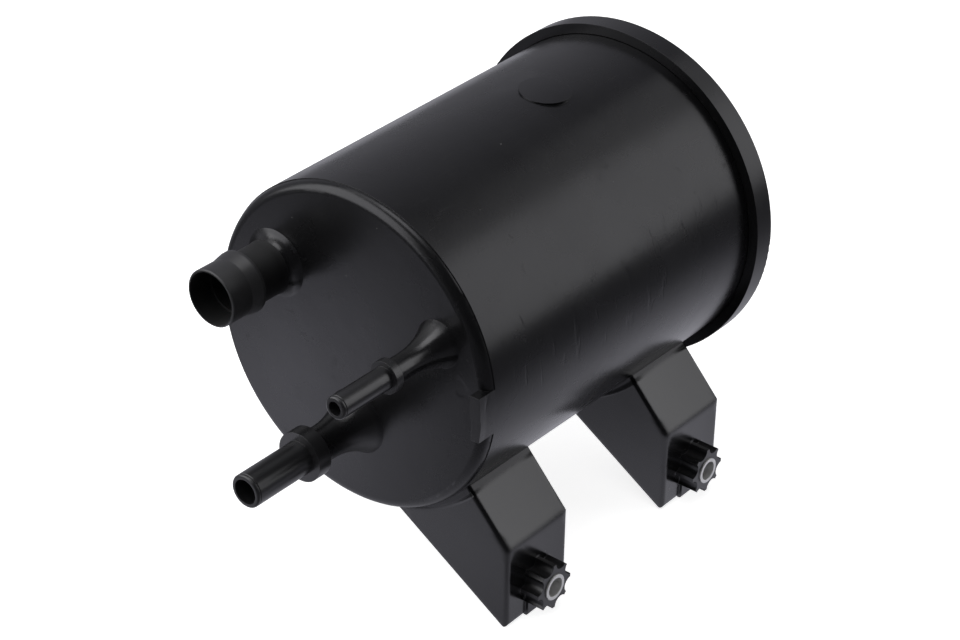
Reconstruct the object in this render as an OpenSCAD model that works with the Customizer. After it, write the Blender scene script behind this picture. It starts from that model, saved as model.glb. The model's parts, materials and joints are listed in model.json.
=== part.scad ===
// Charcoal canister for a fuel vapour system: a moulded housing with three ports and two bolt-on feet,
// a welded end cover, and the carbon beds, fleeces, grids, pressure plates and springs inside.
// The canister's axis runs along Y, with the ports towards -Y. The two bolts run along X.
// The origin lies midway between the outer ends of the two bolt sleeves.

/* [Housing body] */
// Outer diameter of the body at the port face
body_d = 116.8; // [110:0.2:124]
// Length of the housing from the port face to its open end
body_len = 147; // [140:1:190]
// Thickness of the cylindrical wall at the port face
wall = 2.5; // [2:0.1:3.2]
// Thickness of the port face
face_t = 2.8; // [2:0.1:4]
// Growth of the outer radius from the port face to the open end
draft = 1.2; // [0.4:0.1:1.8]
// Rounding between the port face and the side
face_fillet = 3.5; // [2:0.1:5]
// Height of the fine step where the rounding meets the side
crease = 0.3; // [0.1:0.1:0.5]
// Width of the key block on the edge of the port face, along the rim
key_h = 16.6; // [10:0.2:22]
// Depth of the key block towards the axis
key_t = 3.8; // [2:0.1:5]
// Height of the key block in front of the port face
key_out = 4; // [2:0.1:6]
// Step of the key block's upper half over its lower half
key_step = 0.4; // [0.2:0.1:0.8]
// Height of the key block's middle above the axis
key_z = -0.8; // [-4:0.1:4]
// Diameter of the flat round pad on top of the body
pad_d = 18; // [12:0.5:24]
// Distance of the pad's centre from the port face
pad_y = 95.3; // [60:0.1:120]
// Height of the pad over the crown of the body
pad_h = 0.3; // [0.1:0.1:1]
// Turn of the pad from the top of the body
pad_turn = 4.1; // [-10:0.1:10]

/* [Tank port] */
// Place of the tank port across the face
tank_x = 2.8; // [-2:0.1:6]
// Height of the tank port over the axis
tank_z = -26.4; // [-30:0.1:-22]
// Length of the tank port from the face to its tip
tank_len = 52.8; // [44:0.1:58]
// Diameter of the tank port's tube, for a 1/2 inch quick connector
tank_d = 11.8; // [9.49, 11.8, 12.61]
// Bore of the tank port
tank_bore = 8.8; // [6:0.1:9]
// Length of the plain tube from the tip to the collar
tank_tube = 25.2; // [19:0.1:27]
// Diameter of the collar
tank_collar_d = 17.8; // [14.6:0.1:19]
// Length of the collar
tank_collar_w = 5.4; // [3:0.1:7]
// Diameter of the neck behind the collar
tank_neck_d = 12.6; // [11:0.1:14]
// Length of the flared root
tank_flare = 16; // [10:0.1:18]
// Diameter of the flared root on the face
tank_root_d = 23.4; // [18:0.1:26]

/* [Purge port] */
// Place of the purge port across the face
purge_x = 37.5; // [33:0.1:40]
// Height of the purge port over the axis
purge_z = 17.6; // [13:0.1:20]
// Length of the purge port from the face to its tip
purge_len = 48.2; // [42:0.1:54]
// Diameter of the purge port's tube, for a 5/16 inch quick connector
purge_d = 7.89; // [6.3, 7.89, 9.49]
// Bore of the purge port
purge_bore = 4.8; // [3:0.1:5]
// Length of the plain tube from the tip to the collar
purge_tube = 22.4; // [18:0.1:24]
// Diameter of the collar
purge_collar_d = 11.2; // [10.4:0.1:13]
// Length of the collar
purge_collar_w = 3; // [2:0.1:5]
// Diameter of the neck behind the collar
purge_neck_d = 8.4; // [7.4:0.1:10]
// Length of the flared root
purge_flare = 16; // [10:0.1:18]
// Diameter of the flared root on the face
purge_root_d = 16.8; // [14:0.1:20]

/* [Vent port] */
// Place of the vent port across the face
vent_x = -31.6; // [-35:0.1:-28]
// Height of the vent port over the axis
vent_z = 20.9; // [17:0.1:24]
// Length of the vent port from the face to its mouth
vent_len = 30.3; // [26:0.1:36]
// Diameter of the vent port at its mouth
vent_d = 20.3; // [19:0.1:21]
// Bore of the vent port
vent_bore = 16.8; // [14:0.1:17.4]
// Inner diameter of the thinned mouth
vent_mouth_bore = 18.6; // [17.4:0.1:18.8]
// Diameter of the hose barb
vent_barb_d = 22; // [21:0.1:23]
// Length of the plain mouth before the barb
vent_mouth = 8.8; // [5:0.1:11]
// Length of the ramp up to the barb
vent_ramp = 4.4; // [1:0.1:5]
// Length of the barb behind its ramp
vent_barb_w = 1; // [0.6:0.1:6]
// Diameter of the neck behind the barb
vent_neck_d = 18.8; // [18:0.1:20]
// Length of the flared root
vent_flare = 5.6; // [3:0.1:8]
// Diameter of the flared root on the face
vent_root_d = 24.4; // [22:0.1:28]

/* [Feet] */
// Width of each foot along the axis
foot_w = 31.8; // [26:0.1:36]
// Distance between the middles of the feet
foot_pitch = 88.6; // [76:0.1:96]
// Distance from the port face to the front foot
foot_y = 8.6; // [6:0.1:12]
// Distance of the feet's outer face from the axis
foot_x = 60.6; // [58:0.1:64]
// Height of the edge over the outer face, against the axis
foot_edge_z = -57.2; // [-60:0.1:-54]
// Height of the lowest corner before it is rounded
foot_bottom_z = -89.4; // [-94:0.1:-86]
// Slope of the upper face, from level
foot_slope = 47.4; // [40:0.1:54]
// Slope of the open underside, from level
foot_under = 31.8; // [26:0.1:34]
// Rounding of the edge over the outer face
foot_round = 2.6; // [1:0.1:4]
// Rounding of the lowest corner
foot_toe_round = 1.3; // [0.6:0.1:2.6]
// Rounding of the edges at the foot's two sides
foot_side_round = 1.3; // [0.8:0.1:3]
// Wall of the feet
foot_wall = 2.4; // [1.8:0.1:3]

/* [Bolt bosses] */
// Height of the bolt axis, against the canister's axis
boss_z = -76.7; // [-79:0.1:-74]
// Diameter of the boss between its ribs
boss_d = 13; // [12:0.1:14]
// Diameter over the boss's ribs
rib_d = 17.4; // [15:0.1:19]
// Number of ribs round the boss
rib_count = 8; // [6:1:10]
// Thickness of a rib at its tip
rib_tip_t = 1.4; // [1:0.1:2]
// Height of the boss over the foot's outer face
boss_out = 7.5; // [5:0.1:12]
// Width of the raised strip below the boss
strip_w = 11; // [8:0.1:13]
// Height of the raised strip
strip_t = 1; // [0.5:0.1:1.5]

/* [Bolt sleeves] */
// Outer diameter of the steel sleeve
sleeve_d = 9.4; // [8.6:0.1:10]
// Bore of the steel sleeve, clearance for an M6 bolt
sleeve_bore = 7; // [6.4:0.1:7.4]
// Length of the steel sleeve
sleeve_len = 14; // [12:0.1:15]
// Height of the sleeve over the end of its boss
sleeve_proud = 0.5; // [0.2:0.1:1]

/* [End cover] */
// Outer diameter of the cover's rim
rim_d = 126.8; // [124:0.1:134]
// Length of the cover's rim along the axis
rim_w = 9.3; // [7:0.1:11]
// Overlap of the rim over the housing's open end
rim_lap = 4.8; // [3:0.1:6]
// Rounding of the rim's rear edge
rim_round = 1.3; // [0.5:0.1:2.4]
// Thickness of the cover's panel
panel_t = 2.4; // [1.8:0.1:3]
// Width of the flat rim land round the panel
land_w = 9; // [6:0.5:12]
// Number of stiffening ribs on the panel
cover_ribs = 8; // [4:1:12]
// Thickness of the stiffening ribs
cover_rib_t = 2; // [1.2:0.1:3]
// Diameter of the ring rib in the middle of the panel
hub_d = 34; // [24:1:44]
// Length of the spigot that centres the cover in the housing
spigot = 4; // [2:0.1:6]

/* [Filling] */
// Direction of the vent chamber from the axis, turned from X towards Z
partition_turn = 140; // [130:1:150]
// Distance of the partition from the axis
partition_off = 8; // [2:0.5:12]
// Distance of the baffle between the tank and purge sides from the axis
baffle_off = 10; // [6:0.5:14]
// Thickness of the partition and the baffle
partition_t = 2.2; // [1.6:0.1:3]
// Depth of the open space behind the port face
plenum = 8; // [5:0.5:12]
// Thickness of the support grids
grid_t = 2; // [1.5:0.1:3]
// Spacing of the windows in the grids and plates
window_pitch = 12; // [9:0.5:16]
// Width of the bars between the windows
bar_w = 3; // [2:0.1:4]
// Thickness of the fleece pads
fleece_t = 3; // [2:0.1:5]
// Thickness of the pressure plates
plate_t = 3; // [2:0.1:5]
// Length of the springs under load
spring_len = 21; // [16:0.5:26]
// Mean diameter of the springs
spring_d = 17; // [14:0.5:20]
// Diameter of the spring wire
wire_d = 1.6; // [1.2:0.1:2]
// Turns of each spring
spring_turns = 5; // [4:1:7]

/* [Hidden] */
$fn = 96;

// Small overlap that joins solids of one piece
lap = 0.5;
// Gap between the filling and the walls round it
fit_gap = 0.3;
// Gap between a sleeve and its boss
sleeve_gap = 0.05;
// Gap between the cover and the housing's side
cover_gap = 0.15;
// Gap at each end of a spring
seat_gap = 0.1;
// Reach of the cutting shapes, longer than any size of the part
far = 400;
// Rounding and length of the nose on a connector's tip, as shares of its wall
nose_round_share = 0.5;
nose_share = 0.85;
// Side of the fine groove behind the nose
nose_groove = 0.28;
// Lip at the vent port's mouth as a share of its two walls
lip_share = 0.2;
// Depth of the spring studs and of the partition behind the plates, as shares of the spring's length
stud_share = 0.2;
partition_share = 0.33;
// Clearance of a stud in its spring, and width of the flat seat round a spring
stud_gap = 1;
seat_edge = 3;
// Closed turns at each end of a spring
dead_turns = 0.75;
// Ends of a foot's slope and underside inside the body, as shares of its radius
slope_share = 0.6;
under_share = 0.05;

body_r = body_d / 2;
rear_r = body_r + draft;
inner_r = body_r - wall;
boss_end_x = foot_x + boss_out;
mount_x = boss_end_x + sleeve_proud;
front_bolt_y = foot_y + foot_w / 2;
rear_bolt_y = front_bolt_y + foot_pitch;
mount_y = (front_bolt_y + rear_bolt_y) / 2;
sleeve_in_x = mount_x - sleeve_len;

grid_y = face_t + plenum;
fleece_y = grid_y + grid_t;
bed_y = fleece_y + fleece_t;
plate_back_y = body_len - spring_len;
plate_y = plate_back_y - plate_t;
rear_fleece_y = plate_y - fleece_t;
partition_end_y = plate_back_y + spring_len * partition_share;
rim_y = body_len - rim_lap;
rim_back_y = rim_y + rim_w;
rim_r = rim_d / 2;
skirt_r = rear_r + cover_gap;
panel_y = body_len + panel_t;
spigot_r = inner_r - cover_gap;
land_r = rim_r - land_w;
stud_d = spring_d - wire_d - stud_gap;
stud_h = spring_len * stud_share;
seat_d = spring_d + wire_d + seat_edge;

// Places of the springs in each chamber, across and along the partition
main_spread = inner_r * 0.52;
vent_spread = inner_r * 0.31;
main_mid = (partition_off - inner_r) / 2;
vent_mid = (partition_off + inner_r) / 2;
main_springs = [[main_mid + spring_d / 2, -main_spread], [main_mid - spring_d / 2, 0],
                [main_mid + spring_d / 2, main_spread]];
vent_springs = [[vent_mid, -vent_spread], [vent_mid, vent_spread]];
spring_rings_per_turn = 12;
spring_sides = 8;

// Posts that hold the grids off the port face, across and along the partition
post_d = 5;
vent_posts = [[vent_mid - 12, -34], [vent_mid - 12, 34], [vent_mid + 16, -14]];
tank_posts = [[partition_off - 14, 2], [partition_off - 14, 42], [-46, 8], [-38, 32]];
purge_posts = [[partition_off - 14, -22], [-40, -22], [partition_off - 14, -46]];

// Corners of an outline: directions to the neighbours, half the angle, ends and centre of the arc
function unit(v) = v / norm(v);
function corner_side(points, i, step) = unit(points[(i + step + len(points)) % len(points)] - points[i]);
function half_angle(points, i) = acos(corner_side(points, i, 1) * corner_side(points, i, -1)) / 2;
function corner_points(points, radii, i) =
    radii[i] == 0 ? [points[i]] :
    [for (step = [-1, 1]) points[i] + corner_side(points, i, step) * radii[i] / tan(half_angle(points, i))];
function corner_centre(points, radii, i) =
    points[i]
    + unit(corner_side(points, i, 1) + corner_side(points, i, -1)) * radii[i] / sin(half_angle(points, i));

// Convex outline with true arcs at its corners
module rounded_outline(points, radii) {
    polygon([for (i = [0 : len(points) - 1]) each corner_points(points, radii, i)]);
    for (i = [0 : len(points) - 1])
        if (radii[i] > 0)
            translate(corner_centre(points, radii, i))
                circle(r = radii[i]);
}

// Frame of the part: the origin midway between the bolt sleeves
module in_mount_frame() {
    translate([-mount_x, -mount_y, -boss_z])
        children();
}

// Turns a shape made round Z to lie along the canister's axis, with the line where it closes underneath
module along_axis() {
    rotate([-90, 0, 0])
        rotate(90)
            children();
}

// Turns a shape made along Z to lie along a bolt
module along_bolt(y) {
    translate([0, y, boss_z])
        rotate([0, 90, 0])
            children();
}

// Extrudes a cross-section, drawn in X and Z, between two places on the axis
module slab(y0, y1) {
    translate([0, y1, 0])
        rotate([90, 0, 0])
            linear_extrude(y1 - y0)
                children();
}

// Half plane beyond a place on the first axis
module beyond(place) {
    translate([place, -far])
        square([2 * far, 2 * far]);
}

// Cross-sections of the chambers, held back from their walls by a margin
module chamber_disc(margin) {
    circle(r = inner_r - margin);
}

module vent_zone(margin) {
    rotate(partition_turn)
        intersection() {
            chamber_disc(margin);
            beyond(partition_off + partition_t / 2 + margin);
        }
}

module main_zone(margin) {
    rotate(partition_turn)
        difference() {
            chamber_disc(margin);
            beyond(partition_off - partition_t / 2 - margin);
        }
}

module tank_zone(margin) {
    intersection() {
        main_zone(margin);
        rotate(partition_turn + 90)
            beyond(partition_t / 2 + margin - baffle_off);
    }
}

module purge_zone(margin) {
    intersection() {
        main_zone(margin);
        rotate(partition_turn - 90)
            beyond(partition_t / 2 + margin + baffle_off);
    }
}

// Windows on a square pattern over the whole cross-section
module windows() {
    reach = ceil(inner_r / window_pitch);
    rotate(partition_turn)
        for (i = [-reach : reach], k = [-reach : reach])
            translate([i, k] * window_pitch)
                square(window_pitch - bar_w, center = true);
}

// Places an item at a spot given across and along the partition
module at_spot(spot) {
    rotate(partition_turn)
        translate(spot)
            children();
}

// Outer form of the body, without its features
module body_outline() {
    side_r = body_r - crease;
    square([side_r - face_fillet, face_fillet]);
    translate([side_r - face_fillet, face_fillet])
        circle(r = face_fillet);
    polygon([[0, face_fillet], [body_r, face_fillet], [rear_r, body_len], [0, body_len]]);
}

module body_solid() {
    along_axis()
        rotate_extrude()
            intersection() {
                body_outline();
                square([far, far]);
            }
}

// Root of a port: a neck that flares out on to the face
module flared_root(neck_d, root_d, length) {
    growth = (root_d - neck_d) / 2;
    flare_r = (length * length + growth * growth) / (2 * growth);
    difference() {
        translate([0, -length])
            square([root_d / 2, length + lap]);
        translate([neck_d / 2 + flare_r, -length])
            circle(r = flare_r, $fn = 192);
    }
}

// Male quick-connector end with its collar, drawn from the tip to the face
module connector_outline(length, tube_d, bore, tube_len, collar_d, collar_w, neck_d, root_d, flare) {
    tube_wall = (tube_d - bore) / 2;
    tube_end = tube_len + lap - length;
    difference() {
        rounded_outline([[0, -length], [tube_d / 2, -length], [tube_d / 2, tube_end], [0, tube_end]],
                        [0, tube_wall * nose_round_share, 0, 0]);
        translate([tube_d / 2, tube_wall * nose_share - length])
            rotate(45)
                square(nose_groove, center = true);
    }
    translate([0, tube_len - length])
        square([collar_d / 2, collar_w]);
    translate([0, tube_len - length])
        square([neck_d / 2, length - tube_len]);
    flared_root(neck_d, root_d, flare);
}

// Hose stub with one barb, drawn from the mouth to the face
module vent_outline() {
    barb_y = vent_mouth + vent_ramp - vent_len;
    lip = (vent_d - vent_mouth_bore) * lip_share;
    polygon([[0, -vent_len], [vent_d / 2 - lip, -vent_len], [vent_d / 2, lip - vent_len],
             [vent_d / 2, vent_mouth - vent_len], [vent_barb_d / 2, barb_y],
             [vent_barb_d / 2, barb_y + vent_barb_w], [0, barb_y + vent_barb_w]]);
    translate([0, barb_y])
        square([vent_neck_d / 2, -barb_y]);
    flared_root(vent_neck_d, vent_root_d, vent_flare);
}

module port(x, z) {
    translate([x, 0, z])
        along_axis()
            rotate_extrude()
                children();
}

module port_bore(x, z, d, length) {
    translate([x, -length - lap, z])
        along_axis()
            cylinder(d = d, h = length + face_t + 2 * lap);
}

module ports() {
    port(tank_x, tank_z)
        connector_outline(tank_len, tank_d, tank_bore, tank_tube, tank_collar_d, tank_collar_w, tank_neck_d,
                          tank_root_d, tank_flare);
    port(purge_x, purge_z)
        connector_outline(purge_len, purge_d, purge_bore, purge_tube, purge_collar_d, purge_collar_w,
                          purge_neck_d, purge_root_d, purge_flare);
    port(vent_x, vent_z)
        vent_outline();
}

module port_bores() {
    port_bore(tank_x, tank_z, tank_bore, tank_len);
    port_bore(purge_x, purge_z, purge_bore, purge_len);
    port_bore(vent_x, vent_z, vent_bore, vent_len);
    translate([vent_x, -vent_len - lap, vent_z])
        along_axis()
            cylinder(d = vent_mouth_bore, h = vent_mouth + lap);
}

// Side view of a foot: its sloping top, outer face and slanted underside, run back into the body
module foot_outline(face_x) {
    slope_run = face_x - body_r * slope_share;
    under_run = face_x - body_r * under_share;
    top = [face_x, foot_edge_z + (foot_x - face_x) * tan(foot_slope)];
    bottom = [face_x, foot_bottom_z - (face_x - foot_x) * tan(foot_under)];
    rounded_outline([top + slope_run * [-1, tan(foot_slope)], top, bottom,
                     bottom + under_run * [-1, tan(foot_under)]],
                    [0, foot_round, foot_toe_round, 0]);
}

// Solid foot with its front side at the given place
module foot_solid(y) {
    intersection() {
        slab(y, y + foot_w)
            foot_outline(foot_x);
        translate([0, 0, -far])
            linear_extrude(2 * far)
                rounded_outline([[-far, y], [foot_x, y], [foot_x, y + foot_w], [-far, y + foot_w]],
                                [0, foot_side_round, foot_side_round, 0]);
        translate([foot_x, y, foot_edge_z])
            rotate([0, foot_slope, 0])
                rotate([90, 0, 90])
                    translate([0, 0, -far])
                        linear_extrude(2 * far)
                            rounded_outline([[0, -far], [0, 0], [foot_w, 0], [foot_w, -far]],
                                            [0, foot_side_round, foot_side_round, 0]);
    }
    slab(y + (foot_w - strip_w) / 2, y + (foot_w + strip_w) / 2)
        intersection() {
            foot_outline(foot_x + strip_t);
            translate([foot_x - foot_wall, boss_z - far])
                square([far, far]);
        }
}

// Hollow of a foot, open at the underside and closed by the body's side
module foot_hollow(y) {
    inside_x = foot_x - foot_wall;
    inside_z = foot_edge_z - foot_wall * (1 / cos(foot_slope) - tan(foot_slope));
    difference() {
        slab(y + foot_wall, y + foot_w - foot_wall)
            polygon([[inside_x, inside_z], [inside_x, -far], [-far, -far],
                     [-far, inside_z + (inside_x + far) * tan(foot_slope)]]);
        body_solid();
    }
}

// Star-shaped section of a bolt boss, with round valleys between its ribs and one rib straight up
module boss_section() {
    half_gap = 180 / rib_count - asin(rib_tip_t / rib_d);
    valley_x = (rib_d * rib_d - boss_d * boss_d) / (4 * (rib_d * cos(half_gap) - boss_d));
    difference() {
        circle(d = rib_d);
        for (i = [0 : rib_count - 1])
            rotate((i + 0.5) * 360 / rib_count)
                translate([valley_x, 0])
                    circle(r = valley_x - boss_d / 2);
    }
}

module boss(y) {
    along_bolt(y) {
        translate([0, 0, foot_x - foot_wall / 2])
            linear_extrude(boss_out + foot_wall / 2)
                boss_section();
        translate([0, 0, sleeve_in_x])
            cylinder(d = boss_d, h = foot_x - sleeve_in_x);
    }
}

module boss_bore(y) {
    along_bolt(y)
        translate([0, 0, sleeve_in_x - lap])
            cylinder(d = sleeve_d + 2 * sleeve_gap, h = sleeve_len + 2 * lap);
}

// Key block that fills the rounded edge of the port face and stands in front of it, flush with the side.
// Its upper half is a little thicker.
module key_block() {
    intersection() {
        union() {
            translate([body_r - key_t, -key_out, key_z - key_h / 2])
                cube([2 * key_t, key_out + face_fillet, key_h]);
            translate([body_r - key_t - key_step, -key_out - key_step, key_z])
                cube([2 * key_t, key_out + key_step + face_fillet, key_h / 2]);
        }
        translate([0, -key_out - key_step, 0])
            along_axis()
                cylinder(r = body_r, h = key_out + key_step + face_fillet);
    }
}

// Flat round pad on top of the body, with its foot sunk in the wall
module top_pad() {
    pad_r = body_r + draft * pad_y / body_len;
    translate([0, pad_y, 0])
        rotate([0, pad_turn, 0])
            translate([0, 0, pad_r - wall / 2])
                cylinder(d = pad_d, h = wall / 2 + pad_h);
}

// Walls and posts inside the housing
module inner_walls() {
    slab(face_t - lap, partition_end_y)
        intersection() {
            circle(r = inner_r + lap);
            rotate(partition_turn)
                translate([partition_off - partition_t / 2, -far])
                    square([partition_t, 2 * far]);
        }
    slab(face_t - lap, bed_y)
        intersection() {
            circle(r = inner_r + lap);
            rotate(partition_turn)
                translate([partition_off - far, -baffle_off - partition_t / 2])
                    square([far, partition_t]);
        }
    for (spot = concat(vent_posts, tank_posts, purge_posts))
        slab(face_t - lap, grid_y)
            at_spot(spot)
                circle(d = post_d);
}

module housing() {
    color([0.09, 0.09, 0.1])
        in_mount_frame()
            difference() {
                union() {
                    difference() {
                        union() {
                            body_solid();
                            ports();
                            key_block();
                            top_pad();
                            foot_solid(foot_y);
                            foot_solid(foot_y + foot_pitch);
                        }
                        translate([0, face_t, 0])
                            along_axis()
                                cylinder(r = inner_r, h = far);
                        foot_hollow(foot_y);
                        foot_hollow(foot_y + foot_pitch);
                    }
                    inner_walls();
                    boss(front_bolt_y);
                    boss(rear_bolt_y);
                }
                port_bores();
                boss_bore(front_bolt_y);
                boss_bore(rear_bolt_y);
            }
}

// Half section of the cover: rim with rounded rear edge, land, sunk panel and centring spigot
module cover_outline() {
    rounded_outline([[land_r, body_len], [rim_r, body_len], [rim_r, rim_back_y], [land_r, rim_back_y]],
                    [0, 0, rim_round, 0]);
    translate([skirt_r, rim_y])
        square([rim_r - skirt_r, rim_lap + lap]);
    translate([0, body_len])
        square([land_r + lap, panel_t]);
    translate([spigot_r - wall, body_len - spigot])
        square([wall, spigot + lap]);
}

// Spokes and a ring that stiffen the panel, a little lower than the rim
module cover_rib_pattern() {
    rib_h = rim_back_y - panel_y;
    intersection() {
        union() {
            for (i = [0 : cover_ribs - 1])
                rotate([0, i * 360 / cover_ribs, 0])
                    translate([hub_d / 2 - lap, panel_y - lap, -cover_rib_t / 2])
                        cube([land_r + 2 * lap - hub_d / 2, rib_h, cover_rib_t]);
            translate([0, panel_y - lap, 0])
                along_axis()
                    difference() {
                        cylinder(d = hub_d, h = rib_h);
                        translate([0, 0, -lap])
                            cylinder(d = hub_d - 2 * cover_rib_t, h = rib_h + 2 * lap);
                    }
        }
        along_axis()
            cylinder(r = land_r + lap, h = far);
    }
}

module end_cover() {
    color([0.1, 0.1, 0.11])
        in_mount_frame() {
            along_axis()
                rotate_extrude()
                    cover_outline();
            cover_rib_pattern();
            for (spot = concat(main_springs, vent_springs))
                slab(body_len - stud_h, body_len + lap)
                    at_spot(spot)
                        circle(d = stud_d);
        }
}

module bolt_sleeve(y) {
    color([0.8, 0.81, 0.82])
        in_mount_frame()
            along_bolt(y)
                translate([0, 0, sleeve_in_x])
                    difference() {
                        cylinder(d = sleeve_d, h = sleeve_len);
                        translate([0, 0, -lap])
                            cylinder(d = sleeve_bore, h = sleeve_len + 2 * lap);
                    }
}

// Moulded lattice that lets vapour through: a frame round the edge and bars between windows
module lattice() {
    difference() {
        children(0);
        intersection() {
            children(1);
            windows();
        }
    }
}

module grid() {
    color([0.82, 0.8, 0.74])
        in_mount_frame()
            slab(grid_y, fleece_y)
                lattice() {
                    children(0);
                    children(1);
                }
}

module tank_grid() {
    grid() {
        tank_zone(fit_gap);
        tank_zone(fit_gap + bar_w);
    }
}

module purge_grid() {
    grid() {
        purge_zone(fit_gap);
        purge_zone(fit_gap + bar_w);
    }
}

module vent_grid() {
    grid() {
        vent_zone(fit_gap);
        vent_zone(fit_gap + bar_w);
    }
}

module fleece(y) {
    color([0.9, 0.9, 0.86])
        in_mount_frame()
            slab(y, y + fleece_t)
                children();
}

module carbon_bed() {
    color([0.13, 0.13, 0.13])
        in_mount_frame()
            slab(bed_y, rear_fleece_y)
                children();
}

// Perforated plate with a solid seat and a centring stud for each spring
module pressure_plate(spots) {
    color([0.82, 0.8, 0.74])
        in_mount_frame() {
            slab(plate_y, plate_back_y) {
                lattice() {
                    children(0);
                    children(1);
                }
                for (spot = spots)
                    at_spot(spot)
                        circle(d = seat_d);
            }
            for (spot = spots)
                slab(plate_back_y - lap, plate_back_y + stud_h)
                    at_spot(spot)
                        circle(d = stud_d);
        }
}

module main_pressure_plate() {
    pressure_plate(main_springs) {
        main_zone(fit_gap);
        main_zone(fit_gap + bar_w);
    }
}

module vent_pressure_plate() {
    pressure_plate(vent_springs) {
        vent_zone(fit_gap);
        vent_zone(fit_gap + bar_w);
    }
}

// Height of the wire's centre after a share of the coil, with closed end turns
function coil_rise(share) =
    let (t = share * spring_turns, active = spring_turns - 2 * dead_turns)
    t < dead_turns ? 0 : (t > spring_turns - dead_turns ? 1 : (t - dead_turns) / active);

function coil_height(share) =
    wire_d / 2 + seat_gap + coil_rise(share) * (spring_len - wire_d - 2 * seat_gap);

// Ring of points round the wire at a share of the coil
function coil_ring(share) =
    let (turn = share * spring_turns * 360)
    [for (k = [0 : spring_sides - 1])
        let (a = (k + 0.5) * 360 / spring_sides, r = spring_d / 2 + wire_d / 2 * cos(a))
        [r * cos(turn), r * sin(turn), coil_height(share) + wire_d / 2 * sin(a)]];

module coil_spring(spot) {
    rings = spring_turns * spring_rings_per_turn;
    points = [for (i = [0 : rings]) each coil_ring(i / rings)];
    sides = [for (i = [0 : rings - 1], k = [0 : spring_sides - 1])
        let (a = i * spring_sides + k, b = i * spring_sides + (k + 1) % spring_sides)
        [a, a + spring_sides, b + spring_sides, b]];
    first_cap = [for (k = [0 : spring_sides - 1]) k];
    last_cap = [for (k = [spring_sides - 1 : -1 : 0]) rings * spring_sides + k];
    color([0.62, 0.63, 0.65])
        in_mount_frame()
            rotate([0, -partition_turn, 0])
                translate([spot[0], plate_back_y, spot[1]])
                    along_axis()
                        polyhedron(points = points,
                                   faces = concat(sides, [first_cap, last_cap]),
                                   convexity = 8);
}

housing();
end_cover();
bolt_sleeve(front_bolt_y);  // front_bolt_sleeve
bolt_sleeve(rear_bolt_y);  // rear_bolt_sleeve
tank_grid();
purge_grid();
vent_grid();
fleece(fleece_y) tank_zone(fit_gap);  // tank_fleece
fleece(fleece_y) purge_zone(fit_gap);  // purge_fleece
fleece(fleece_y) vent_zone(fit_gap);  // vent_fleece
carbon_bed() main_zone(fit_gap);  // main_carbon_bed
carbon_bed() vent_zone(fit_gap);  // vent_carbon_bed
fleece(rear_fleece_y) main_zone(fit_gap);  // main_rear_fleece
fleece(rear_fleece_y) vent_zone(fit_gap);  // vent_rear_fleece
main_pressure_plate();
vent_pressure_plate();
coil_spring(main_springs[0]);  // main_spring_upper
coil_spring(main_springs[1]);  // main_spring_middle
coil_spring(main_springs[2]);  // main_spring_lower
coil_spring(vent_springs[0]);  // vent_spring_upper
coil_spring(vent_springs[1]);  // vent_spring_lower
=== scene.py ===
import json
import math

import bpy
from mathutils import Matrix, Vector


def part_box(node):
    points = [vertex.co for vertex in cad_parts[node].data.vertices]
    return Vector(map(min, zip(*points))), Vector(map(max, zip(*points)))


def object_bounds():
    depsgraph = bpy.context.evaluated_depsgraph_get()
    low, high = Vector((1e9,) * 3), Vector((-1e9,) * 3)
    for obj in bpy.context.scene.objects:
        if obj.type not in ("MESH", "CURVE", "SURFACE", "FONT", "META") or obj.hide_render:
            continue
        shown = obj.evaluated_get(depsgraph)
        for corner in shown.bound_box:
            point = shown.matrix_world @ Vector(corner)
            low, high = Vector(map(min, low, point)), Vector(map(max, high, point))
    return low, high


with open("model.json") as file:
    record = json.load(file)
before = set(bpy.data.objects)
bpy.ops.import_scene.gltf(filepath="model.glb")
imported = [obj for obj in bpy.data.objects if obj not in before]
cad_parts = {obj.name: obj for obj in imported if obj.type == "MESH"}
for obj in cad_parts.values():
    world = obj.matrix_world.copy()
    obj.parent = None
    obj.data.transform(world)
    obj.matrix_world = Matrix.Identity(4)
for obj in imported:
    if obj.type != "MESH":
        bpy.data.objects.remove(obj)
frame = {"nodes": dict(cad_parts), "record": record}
cad_low, cad_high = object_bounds()
nodes = frame["nodes"]
scene = bpy.context.scene

# Places from the frame, in metres: the body's axis is the end cover's, and mounts give the vent and the feet
cover_low, cover_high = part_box("end_cover")
BODY_X = (cover_low.x + cover_high.x) / 2
BODY_Z = (cover_low.z + cover_high.z) / 2
mounts = {mount["name"]: mount for mount in frame["record"]["mounts"]}
VENT_X = mounts["vent_port"]["pos_m"][0]
VENT_Z = mounts["vent_port"]["pos_m"][2]
FOOT_PITCH = mounts["mount_bolts"]["dims"]["spacing_x_mm"] / 1000

# Place of the port face along the axis
FACE_Y = -0.0688


def rgb(r, g, b):
    return (r, g, b, 1.0)


# A base colour made darker or paler
def shaded(base, share):
    return rgb(*[min(1.0, c * share) for c in base])


# Unit vector from the part towards an azimuth and elevation in degrees; azimuth 0 looks at the port face
def direction(azimuth, elevation):
    a = math.radians(azimuth)
    e = math.radians(elevation)
    return Vector((math.sin(a) * math.cos(e), -math.cos(a) * math.cos(e), math.sin(e)))


WHITE = rgb(1.0, 1.0, 1.0)

# Sockets of a mix node by kind of data: first value, second value and result
MIX_SOCKETS = {"FLOAT": (2, 3, 0), "VECTOR": (4, 5, 1), "RGBA": (6, 7, 2)}

# Samples for the shading of rounded edges
EDGE_SAMPLES = 6


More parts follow.
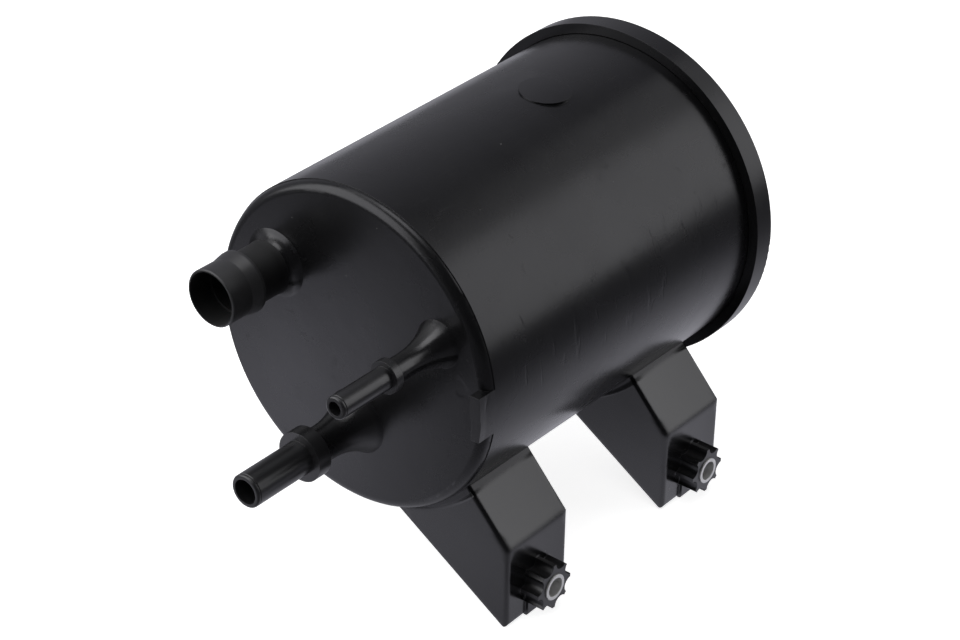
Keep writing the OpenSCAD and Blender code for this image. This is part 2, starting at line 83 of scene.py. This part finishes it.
# Small helpers for building a material or a world from nodes
class Tree:
    def __init__(self, owner):
        owner.use_nodes = True
        self.nodes = owner.node_tree.nodes
        self.links = owner.node_tree.links
        self.nodes.clear()

    def add(self, kind, **values):
        node = self.nodes.new(kind)
        for key, value in values.items():
            setattr(node, key, value)
        return node

    # Sets a socket to a number or colour, or links an output to it
    def feed(self, value, socket):
        if isinstance(value, (int, float, tuple)):
            socket.default_value = value
        else:
            self.links.new(value, socket)

    def place(self):
        return self.add("ShaderNodeTexCoord").outputs["Object"]

    def axis(self, vector, name):
        node = self.add("ShaderNodeSeparateXYZ")
        self.feed(vector, node.inputs[0])
        return node.outputs[name]

    def noise(self, vector, scale, detail, rough=0.55, stretch=None):
        if stretch is not None:
            mapping = self.add("ShaderNodeMapping")
            self.feed(stretch, mapping.inputs["Scale"])
            self.feed(vector, mapping.inputs["Vector"])
            vector = mapping.outputs["Vector"]
        node = self.add("ShaderNodeTexNoise")
        self.feed(scale, node.inputs["Scale"])
        self.feed(detail, node.inputs["Detail"])
        self.feed(rough, node.inputs["Roughness"])
        self.feed(vector, node.inputs["Vector"])
        return node.outputs["Fac"]

    # Smooth step from c to d while the value goes from a to b
    def span(self, value, a, b, c, d):
        node = self.add("ShaderNodeMapRange", interpolation_type="SMOOTHSTEP")
        for name, number in zip(("From Min", "From Max", "To Min", "To Max"), (a, b, c, d)):
            self.feed(number, node.inputs[name])
        self.feed(value, node.inputs["Value"])
        return node.outputs["Result"]

    def math(self, kind, *values):
        node = self.add("ShaderNodeMath", operation=kind)
        for value, socket in zip(values, node.inputs):
            self.feed(value, socket)
        return node.outputs[0]

    def vector(self, kind, *values):
        node = self.add("ShaderNodeVectorMath", operation=kind)
        for value, socket in zip(values, node.inputs):
            self.feed(value, socket)
        return node.outputs["Value" if kind in ("DISTANCE", "DOT_PRODUCT") else "Vector"]

    def mix(self, factor, a, b, kind="RGBA"):
        node = self.add("ShaderNodeMix", data_type=kind)
        first, second, result = MIX_SOCKETS[kind]
        self.feed(factor, node.inputs[0])
        self.feed(a, node.inputs[first])
        self.feed(b, node.inputs[second])
        return node.outputs[result]

    def bump(self, height, distance, strength, normal=None):
        node = self.add("ShaderNodeBump")
        self.feed(distance, node.inputs["Distance"])
        self.feed(strength, node.inputs["Strength"])
        self.feed(height, node.inputs["Height"])
        if normal is not None:
            self.feed(normal, node.inputs["Normal"])
        return node.outputs["Normal"]

    def edge(self, radius):
        node = self.add("ShaderNodeBevel", samples=EDGE_SAMPLES)
        self.feed(radius, node.inputs["Radius"])
        return node.outputs["Normal"]

    def principled(self, metallic=0.0, specular=0.5, tint=WHITE):
        shader = self.add("ShaderNodeBsdfPrincipled")
        self.feed(metallic, shader.inputs["Metallic"])
        self.feed(specular, shader.inputs["Specular IOR Level"])
        self.feed(tint, shader.inputs["Specular Tint"])
        return shader

    def mix_shader(self, factor, a, b):
        node = self.add("ShaderNodeMixShader")
        for value, socket in zip((factor, a, b), node.inputs):
            self.feed(value, socket)
        return node.outputs[0]

    def show(self, output, kind="ShaderNodeOutputMaterial"):
        self.feed(output, self.add(kind).inputs["Surface"])


# Share of a speck's radius that is fully covered
SPECK_CORE = 0.5


# Sparse dust specks: a mask of small dots, each kept or dropped by chance
def specks(tree, place, scale, size, share):
    cells = tree.add("ShaderNodeTexVoronoi")
    tree.feed(scale, cells.inputs["Scale"])
    tree.feed(place, cells.inputs["Vector"])
    dot = tree.span(cells.outputs["Distance"], size * SPECK_CORE, size, 1.0, 0.0)
    chance = tree.axis(cells.outputs["Color"], "X")
    kept = tree.math("GREATER_THAN", chance, 1.0 - share)
    return tree.math("MULTIPLY", dot, kept)


# Multiplier that takes out a vector's part along the body's axis
ACROSS = (1.0, 0.0, 1.0)


# Distance from a line along Y through (x, z)
def from_line(tree, place, x, z):
    return tree.vector("DISTANCE", tree.vector("MULTIPLY", place, ACROSS), (x, 0.0, z))


# Zones of the housing, by how far in front of the face they begin and how softly, or by radius and softness
PORTS_START = (0.0005, 0.0015)
TUBES_START = (0.0215, 0.0010)
STUB_START = (0.0158, 0.0004)
STUB_R = 0.0130
BORE_R = 0.0096
FEET_R = 0.0600
FEET_SOFT = 0.0025
# Just outside the feet's outer faces, where the bosses begin
BOSS_X = -0.00799


# Mask that is 1 in front of the face, from a distance on
def in_front(tree, along, start, soft):
    return tree.span(along, FACE_Y - start - soft, FACE_Y - start, 1.0, 0.0)


# Masks of the ports, the plain tubes, the vent stub, the vent's bore, the bosses and the feet
def housing_zones(tree, place):
    along = tree.axis(place, "Y")
    from_vent = from_line(tree, place, VENT_X, VENT_Z)
    from_body = from_line(tree, place, BODY_X, BODY_Z)
    by_vent = tree.math("LESS_THAN", from_vent, STUB_R)
    stub = tree.math("MULTIPLY", by_vent, in_front(tree, along, *STUB_START))
    in_bore = tree.math("LESS_THAN", from_vent, BORE_R)
    tubes = in_front(tree, along, *TUBES_START)
    return {
        "ports": in_front(tree, along, *PORTS_START),
        "tubes": tree.math("MULTIPLY", tubes, tree.math("SUBTRACT", 1.0, stub)),
        "stub": stub,
        "bore": tree.math("MULTIPLY", in_bore, tree.math("LESS_THAN", along, FACE_Y)),
        "bosses": tree.math("GREATER_THAN", tree.axis(place, "X"), BOSS_X),
        "feet": tree.span(from_body, FEET_R, FEET_R + FEET_SOFT, 0.0, 1.0),
    }


# Radius that is shaded at plain edges and at the edges of the feet
EDGE_R = 0.00015
FOOT_EDGE_R = 0.0016
# The feet's bend between sloping top and outer face: its height, shaded radius and where that fades
KNEE_Z = 0.0195
KNEE_R = 0.0038
KNEE_NEAR = 0.003
KNEE_FAR = 0.006


# Rounded edges: fine on the body and the bosses, softer on the feet and softest at their bends
def foot_edges(tree, place, zones):
    from_knee = tree.math("ABSOLUTE", tree.math("SUBTRACT", tree.axis(place, "Z"), KNEE_Z))
    soft = tree.span(from_knee, KNEE_NEAR, KNEE_FAR, KNEE_R, FOOT_EDGE_R)
    no_boss = tree.math("SUBTRACT", 1.0, zones["bosses"])
    soft = tree.math("MULTIPLY", soft, tree.math("MULTIPLY", zones["feet"], no_boss))
    return tree.edge(tree.math("MAXIMUM", soft, EDGE_R))


# The round pad on top: place along Y, lean about Y in degrees and radius inside its edge
PAD_Y = 0.0265
PAD_LEAN = 4.1
PAD_R = 0.0088


# The pad bends with the body: inside its edge the normal points straight away from the body's axis
def round_pad(tree, place, normal):
    lean = math.radians(PAD_LEAN)
    spoke = tree.vector("SUBTRACT", place, (BODY_X, 0.0, BODY_Z))
    outward = tree.vector("NORMALIZE", tree.vector("MULTIPLY", spoke, ACROSS))
    aside = tree.vector("DOT_PRODUCT", spoke, (math.cos(lean), 0.0, -math.sin(lean)))
    ahead = tree.math("SUBTRACT", tree.axis(place, "Y"), PAD_Y)
    square = tree.math("ADD", tree.math("MULTIPLY", ahead, ahead), tree.math("MULTIPLY", aside, aside))
    inside = tree.math("LESS_THAN", square, PAD_R * PAD_R)
    on_top = tree.math("GREATER_THAN", tree.axis(place, "Z"), BODY_Z)
    return tree.mix(tree.math("MULTIPLY", inside, on_top), normal, outward, "VECTOR")


# How strongly the feet are shaded as hollow along Y
FOOT_HOLLOW = 2.6


def hollow_feet(tree, place, feet, normal):
    half = FOOT_PITCH / 2
    across = tree.math("WRAP", tree.math("ADD", tree.axis(place, "Y"), half), half, -half)
    bowl = tree.math("MULTIPLY", tree.math("MULTIPLY", across, across), feet)
    return tree.bump(bowl, FOOT_HOLLOW, 1.0, normal)


# Small dents on the body's right side: lowest and highest, fade, distance from the axis, noise and depth
DENT_LOW = 0.080
DENT_HIGH = 0.100
DENT_FADE = 0.008
DENT_ASIDE = 0.045
DENT_NOISE = (55.0, 3.0, 0.6, (1.0, 5.0, 1.0))
DENT_STEP = (0.60, 0.70)
DENT_BUMP = (-0.00006, 0.8)


def side_dents(tree, place, normal):
    height = tree.axis(place, "Z")
    over = tree.span(height, DENT_LOW - DENT_FADE, DENT_LOW, 0.0, 1.0)
    under = tree.span(height, DENT_HIGH, DENT_HIGH + DENT_FADE, 1.0, 0.0)
    on_right = tree.math("GREATER_THAN", tree.axis(place, "X"), BODY_X + DENT_ASIDE)
    band = tree.math("MULTIPLY", tree.math("MULTIPLY", over, under), on_right)
    dent = tree.span(tree.noise(place, *DENT_NOISE), *DENT_STEP, 0.0, 1.0)
    return tree.bump(tree.math("MULTIPLY", dent, band), *DENT_BUMP, normal)


# Part of a noise's range that counts as going from low to high
NOISE_SPAN = (0.3, 0.7)
# Black plastic reflects a touch bluer than neutral, the smoother ports and feet less so but more strongly
PLASTIC_TINT = rgb(0.95, 0.947, 1.0)
SMOOTH_TINT = rgb(0.97, 0.968, 1.0)
SMOOTH_SPECULAR = 0.75
# Noises of the plastic: scale, detail, roughness and stretch
CLOUD_NOISE = (28.0, 4.0)
GRAIN_NOISE = (900.0, 2.0)
WAVE_NOISE = (52.0, 2.0)
SMUDGE_NOISE = (95.0, 5.0, 0.7)
SCUFF_NOISE = (60.0, 5.0, 0.65, (6.0, 0.7, 6.0))
SMUDGE_STEP = (0.63, 0.72)
SCUFF_STEP = (0.60, 0.74)
# Height in metres and strength of the bumps
CLOUD_BUMP = (0.00025, 0.30)
GRAIN_BUMP = (0.00002, 0.75)
WAVE_BUMP = (0.00012, 0.70)
# Dust: scale, size of a dot in its cell and share of the cells that have one
FINE_DUST = (260.0, 0.055, 0.10)
COARSE_DUST = (90.0, 0.022, 0.10)
DUST_COLOUR = rgb(0.32, 0.32, 0.31)
DUST_COVER = 0.6
SCUFF_COLOUR = rgb(0.05, 0.05, 0.05)
SCUFF_COVER = 0.12
# Darkest and palest shares of the base colour, and colours of the tubes and the stub, and the near-black
# painted shade of the bore
PLASTIC_SHADES = (0.75, 1.3)
TUBE_COLOURS = (rgb(0.007, 0.007, 0.0075), rgb(0.012, 0.012, 0.013))
STUB_COLOURS = (rgb(0.012, 0.012, 0.0125), rgb(0.018, 0.018, 0.019))
BORE_PAINTED_SHADE = rgb(0.001, 0.001, 0.001)
# Roughness: spread of the plastic, share that is kept on the feet, and what each zone and mark adds
PLASTIC_SPREAD = 0.03
FEET_SHARE = 0.75
ZONE_ROUGH = {"tubes": 0.03, "stub": 0.14, "bore": 0.40, "bosses": 0.15}
SCUFF_ROUGH = 0.05
SMUDGE_ROUGH = 0.10


# Moulded black plastic with a fine grain, faint scuffs along the axis and a little dust.
# On the housing the tubes and the stub are duller and greyer, the bore is painted near-black as shade, the
# bosses are rougher, and the ports and feet are shinier.
def moulded_plastic(name, base, rough, zoned):
    material = bpy.data.materials.new(name)
    tree = Tree(material)
    place = tree.place()
    cloud = tree.noise(place, *CLOUD_NOISE)
    smudge = tree.span(tree.noise(place, *SMUDGE_NOISE), *SMUDGE_STEP, 0.0, 1.0)
    scuff = tree.span(tree.noise(place, *SCUFF_NOISE), *SCUFF_STEP, 0.0, 1.0)
    dust = tree.math("ADD", specks(tree, place, *FINE_DUST), specks(tree, place, *COARSE_DUST))
    roughness = tree.span(cloud, *NOISE_SPAN, rough - PLASTIC_SPREAD, rough + PLASTIC_SPREAD)
    shade = tree.mix(cloud, *[shaded(base, share) for share in PLASTIC_SHADES])
    shaders = [tree.principled(tint=PLASTIC_TINT)]
    look = shaders[0].outputs["BSDF"]
    if zoned:
        zones = housing_zones(tree, place)
        shaders.append(tree.principled(specular=SMOOTH_SPECULAR, tint=SMOOTH_TINT))
        smooth = tree.math("MAXIMUM", zones["ports"], zones["feet"])
        look = tree.mix_shader(smooth, look, shaders[1].outputs["BSDF"])
        roughness = tree.math("MULTIPLY", roughness, tree.span(zones["feet"], 0.0, 1.0, 1.0, FEET_SHARE))
        for zone, more in ZONE_ROUGH.items():
            roughness = tree.math("ADD", roughness, tree.math("MULTIPLY", zones[zone], more))
        shade = tree.mix(zones["tubes"], shade, tree.mix(cloud, *TUBE_COLOURS))
        shade = tree.mix(zones["stub"], shade, tree.mix(cloud, *STUB_COLOURS))
        # Painted shade: the vent's recessed bore is coloured near-black
        shade = tree.mix(zones["bore"], shade, BORE_PAINTED_SHADE)
        scuff = tree.math("MULTIPLY", scuff, tree.math("SUBTRACT", 1.0, zones["ports"]))
        normal = round_pad(tree, place, foot_edges(tree, place, zones))
    else:
        normal = tree.edge(EDGE_R)
    roughness = tree.math("ADD", roughness, tree.math("MULTIPLY", scuff, SCUFF_ROUGH))
    roughness = tree.math("ADD", roughness, tree.math("MULTIPLY", smudge, SMUDGE_ROUGH))
    shade = tree.mix(tree.math("MULTIPLY", scuff, SCUFF_COVER), shade, SCUFF_COLOUR)
    shade = tree.mix(tree.math("MULTIPLY", dust, DUST_COVER), shade, DUST_COLOUR)
    normal = tree.bump(tree.noise(place, *GRAIN_NOISE), *GRAIN_BUMP, normal)
    normal = tree.bump(cloud, *CLOUD_BUMP, normal)
    normal = tree.bump(tree.noise(place, *WAVE_NOISE), *WAVE_BUMP, normal)
    if zoned:
        normal = hollow_feet(tree, place, zones["feet"], normal)
        normal = side_dents(tree, place, normal)
    for shader in shaders:
        tree.feed(roughness, shader.inputs["Roughness"])
        tree.feed(shade, shader.inputs["Base Color"])
        tree.feed(normal, shader.inputs["Normal"])
    tree.show(look)
    return material


# Plated steel: how metallic, noises, bump of the fine rings, edge radius, roughness below and above, shades
STEEL_METAL = 0.7
STEEL_NOISE = (180.0, 4.0)
RING_NOISE = (700.0, 3.0, 0.6, (0.15, 1.0, 1.0))
RING_BUMP = (0.00003, 0.4)
STEEL_EDGE_R = 0.0003
STEEL_SMOOTHER = 0.05
STEEL_ROUGHER = 0.08
STEEL_SHADES = (0.85, 1.1)


# Turned and plated steel with fine rings
def turned_steel(name, base, rough):
    material = bpy.data.materials.new(name)
    tree = Tree(material)
    shader = tree.principled(metallic=STEEL_METAL)
    place = tree.place()
    cloud = tree.noise(place, *STEEL_NOISE)
    rings = tree.noise(place, *RING_NOISE)
    roughness = tree.span(cloud, *NOISE_SPAN, rough - STEEL_SMOOTHER, rough + STEEL_ROUGHER)
    tree.feed(roughness, shader.inputs["Roughness"])
    shade = tree.mix(cloud, *[shaded(base, share) for share in STEEL_SHADES])
    tree.feed(shade, shader.inputs["Base Color"])
    tree.feed(tree.bump(rings, *RING_BUMP, tree.edge(STEEL_EDGE_R)), shader.inputs["Normal"])
    tree.show(shader.outputs["BSDF"])
    return material


# Matt fillings: reflection, detail and roughness of the noise, spread of the roughness, shades, bump strength
FILLING_SPECULAR = 0.3
FILLING_NOISE = (5.0, 0.7)
FILLING_SPREAD = 0.1
FILLING_SHADES = (0.7, 1.2)
FILLING_BUMP = 0.6


# Matt filling: fleece, pellets and natural plastic, by colour, scale of the grain and its height
def matt_filling(name, base, rough, grain, height):
    material = bpy.data.materials.new(name)
    tree = Tree(material)
    shader = tree.principled(specular=FILLING_SPECULAR)
    cloud = tree.noise(tree.place(), grain, *FILLING_NOISE)
    roughest = min(1.0, rough + FILLING_SPREAD)
    tree.feed(tree.span(cloud, *NOISE_SPAN, rough - FILLING_SPREAD, roughest), shader.inputs["Roughness"])
    shade = tree.mix(cloud, *[shaded(base, share) for share in FILLING_SHADES])
    tree.feed(shade, shader.inputs["Base Color"])
    tree.feed(tree.bump(cloud, height, FILLING_BUMP), shader.inputs["Normal"])
    tree.show(shader.outputs["BSDF"])
    return material


BLACK = (0.004, 0.004, 0.0043)
housing_plastic = moulded_plastic("housing_plastic", BLACK, 0.27, True)
cover_plastic = moulded_plastic("cover_plastic", BLACK, 0.30, False)
sleeve_steel = turned_steel("sleeve_steel", (0.70, 0.70, 0.69), 0.36)
spring_steel = turned_steel("spring_steel", (0.45, 0.45, 0.45), 0.35)
filler_plastic = matt_filling("filler_plastic", (0.72, 0.70, 0.62), 0.5, 300.0, 0.00005)
fleece = matt_filling("fleece", (0.80, 0.80, 0.76), 0.95, 1500.0, 0.0004)
carbon = matt_filling("carbon", (0.02, 0.02, 0.02), 0.8, 700.0, 0.001)

# Which words in a node's name call for which material
finishes = {
    "housing": housing_plastic,
    "end_cover": cover_plastic,
    "bolt_sleeve": sleeve_steel,
    "grid": filler_plastic,
    "plate": filler_plastic,
    "fleece": fleece,
    "carbon": carbon,
    "spring": spring_steel,
}
for name, piece in nodes.items():
    for key, material in finishes.items():
        if key in name:
            for holder in piece.material_slots:
                holder.material = material
            if not piece.material_slots:
                piece.data.materials.append(material)

# Camera as fitted to the photograph: direction in degrees, roll, offsets and distance from its target
AZIMUTH = 38.6715
ELEVATION = 31.4735
ROLL = math.radians(0.9564)
SIDE = -0.0049
RISE = -0.0200
DISTANCE = 0.8731
TARGET_BEHIND_FACE = 0.075
FOCAL_PX = 2539.45
IMAGE_W = 960
SENSOR_MM = 36.0
CLIP_NEAR = 0.01
CLIP_FAR = 50.0
target = Vector((BODY_X, FACE_Y + TARGET_BEHIND_FACE, BODY_Z))
back = direction(AZIMUTH, ELEVATION)
level = direction(AZIMUTH + 90.0, 0.0)
upward = back.cross(level)
right = level * math.cos(ROLL) + upward * math.sin(ROLL)
up = upward * math.cos(ROLL) - level * math.sin(ROLL)
camera_data = bpy.data.cameras.new("camera")
camera_data.sensor_width = SENSOR_MM
camera_data.lens = FOCAL_PX / IMAGE_W * SENSOR_MM
camera_data.clip_start = CLIP_NEAR
camera_data.clip_end = CLIP_FAR
camera = bpy.data.objects.new("camera", camera_data)
scene.collection.objects.link(camera)
spot = target + back * DISTANCE + right * SIDE + up * RISE
camera.matrix_world = Matrix((
    (right.x, up.x, back.x, spot.x),
    (right.y, up.y, back.y, spot.y),
    (right.z, up.z, back.z, spot.z),
    (0.0, 0.0, 0.0, 1.0),
))
scene.camera = camera

# Pale floor just below the part: white to the camera, and in reflections a dim glowing table with painted
# pools of light and a painted shadow under the body
FLOOR_HALF = 6.0
FLOOR_GAP = 0.0005
FLOOR_COLOUR = rgb(0.8, 0.8, 0.8)
FLOOR_GLOW = 0.80
TABLE_GLOW = 0.11
# Light that comes back from the table and the surroundings is slightly cool
COOL = rgb(0.92, 0.917, 1.01)
# Painted pools of light on the table, and a painted shadow under the body where the brightness is negative:
# middle, turn in degrees, reach along and across, brightness
PAINTED_POOLS = (
    ((-0.015, 0.090), 90.0, 0.100, 0.084, 0.64),
    ((-0.169, -0.141), 41.0, 0.075, 0.038, 1.06),
    ((-0.045, -0.085), 0.0, 0.030, 0.030, 0.28),
    ((-0.062, -0.043), 0.0, 0.030, 0.030, -0.24),
    ((0.020, -0.030), 0.0, 0.030, 0.030, 0.15),
    ((-0.600, 0.480), 0.0, 0.330, 0.330, 0.72),
)


# A pool's brightness at a place: a bell curve that is longer one way than the other
def pool(tree, place, middle, turn, reach, width):
    offset = tree.vector("SUBTRACT", place, (*middle, 0.0))
    a = math.radians(turn)
    total = 0.0
    for way, size in (((math.cos(a), math.sin(a), 0.0), reach), ((-math.sin(a), math.cos(a), 0.0), width)):
        ratio = tree.math("DIVIDE", tree.vector("DOT_PRODUCT", offset, way), size)
        total = tree.math("ADD", tree.math("MULTIPLY", ratio, ratio), total)
    return tree.math("EXPONENT", tree.math("MULTIPLY", total, -0.5))


floor_mesh = bpy.data.meshes.new("floor")
floor_z = cad_low.z - FLOOR_GAP
corners = [(x * FLOOR_HALF, y * FLOOR_HALF, floor_z) for x, y in ((-1, -1), (1, -1), (1, 1), (-1, 1))]
floor_mesh.from_pydata(corners, [], [(0, 1, 2, 3)])
floor = bpy.data.objects.new("floor", floor_mesh)
scene.collection.objects.link(floor)
floor_paint = bpy.data.materials.new("floor")
tree = Tree(floor_paint)
place = tree.place()
path = tree.add("ShaderNodeLightPath")
# Painted light and shadow: each pool is added to the table's glow, the negative one darkening it under the
# body
table = TABLE_GLOW
for middle, turn, reach, width, bright in PAINTED_POOLS:
    fall = pool(tree, place, middle, turn, reach, width)
    table = tree.math("ADD", tree.math("MULTIPLY", fall, bright), table)
mirrored = tree.math("MAXIMUM", path.outputs["Is Glossy Ray"], path.outputs["Is Transmission Ray"])
glowing = tree.math("MAXIMUM", path.outputs["Is Camera Ray"], mirrored)
strength = tree.math("MULTIPLY", tree.mix(mirrored, FLOOR_GLOW, table, "FLOAT"), glowing)
glow = tree.add("ShaderNodeEmission")
tree.feed(strength, glow.inputs["Strength"])
tree.feed(tree.mix(mirrored, WHITE, COOL), glow.inputs["Color"])
diffuse = tree.add("ShaderNodeBsdfDiffuse")
tree.feed(FLOOR_COLOUR, diffuse.inputs["Color"])
lit = tree.add("ShaderNodeAddShader")
tree.feed(diffuse.outputs[0], lit.inputs[0])
tree.feed(glow.outputs[0], lit.inputs[1])
tree.show(tree.mix_shader(mirrored, lit.outputs[0], glow.outputs[0]))
floor_mesh.materials.append(floor_paint)

# World: white where the camera sees past the floor, otherwise dim, and brighter behind the part on the left
SKY_BRIGHT_SIDE = (-0.717, 0.692, -0.087)
SKY_STEP = (0.20, 0.88)
SKY_LEVELS = (0.03, 0.35)
world = bpy.data.worlds.new("world")
scene.world = world
tree = Tree(world)
path = tree.add("ShaderNodeLightPath")
by_camera = path.outputs["Is Camera Ray"]
looking = tree.add("ShaderNodeTexCoord").outputs["Generated"]
dim = tree.span(tree.vector("DOT_PRODUCT", looking, SKY_BRIGHT_SIDE), *SKY_STEP, *SKY_LEVELS)
sky = tree.add("ShaderNodeBackground")
tree.feed(tree.mix(by_camera, COOL, WHITE), sky.inputs["Color"])
tree.feed(tree.mix(by_camera, dim, 1.0, "FLOAT"), sky.inputs["Strength"])
tree.show(sky.outputs[0], "ShaderNodeOutputWorld")


# Soft box: direction from the part in degrees, distance and size in metres, and brightness.
# It is aimed at the part, and one that isn't shiny lights the part without showing in it.
def soft_box(name, azimuth, elevation, distance, width, height, radiance, shiny=True):
    data = bpy.data.lights.new(name, "AREA")
    data.shape = "RECTANGLE"
    data.size = width
    data.size_y = height
    data.energy = radiance * math.pi * width * height
    lamp = bpy.data.objects.new(name, data)
    scene.collection.objects.link(lamp)
    way = direction(azimuth, elevation)
    lamp.location = Vector((BODY_X, 0.0, BODY_Z)) + way * distance
    lamp.rotation_euler = way.to_track_quat("Z", "Y").to_euler()
    lamp.visible_camera = False
    lamp.visible_glossy = shiny


soft_box("right_box", 137.0, 19.7, 2.80, 1.60, 2.42, 0.86)
soft_box("right_wide", 151.0, 23.0, 2.84, 2.84, 2.90, 0.52)
soft_box("front_box", -38.0, 31.0, 1.0, 1.16, 1.12, 2.1)
soft_box("left_top_box", -100.0, 66.0, 1.0, 0.5, 0.5, 0.9)
soft_box("top_box", 180.0, 86.0, 1.2, 0.62, 0.62, 2.2)
soft_box("fill_box", 20.0, 60.0, 1.5, 1.6, 1.6, 1.1, shiny=False)

scene.view_settings.view_transform = "Standard"
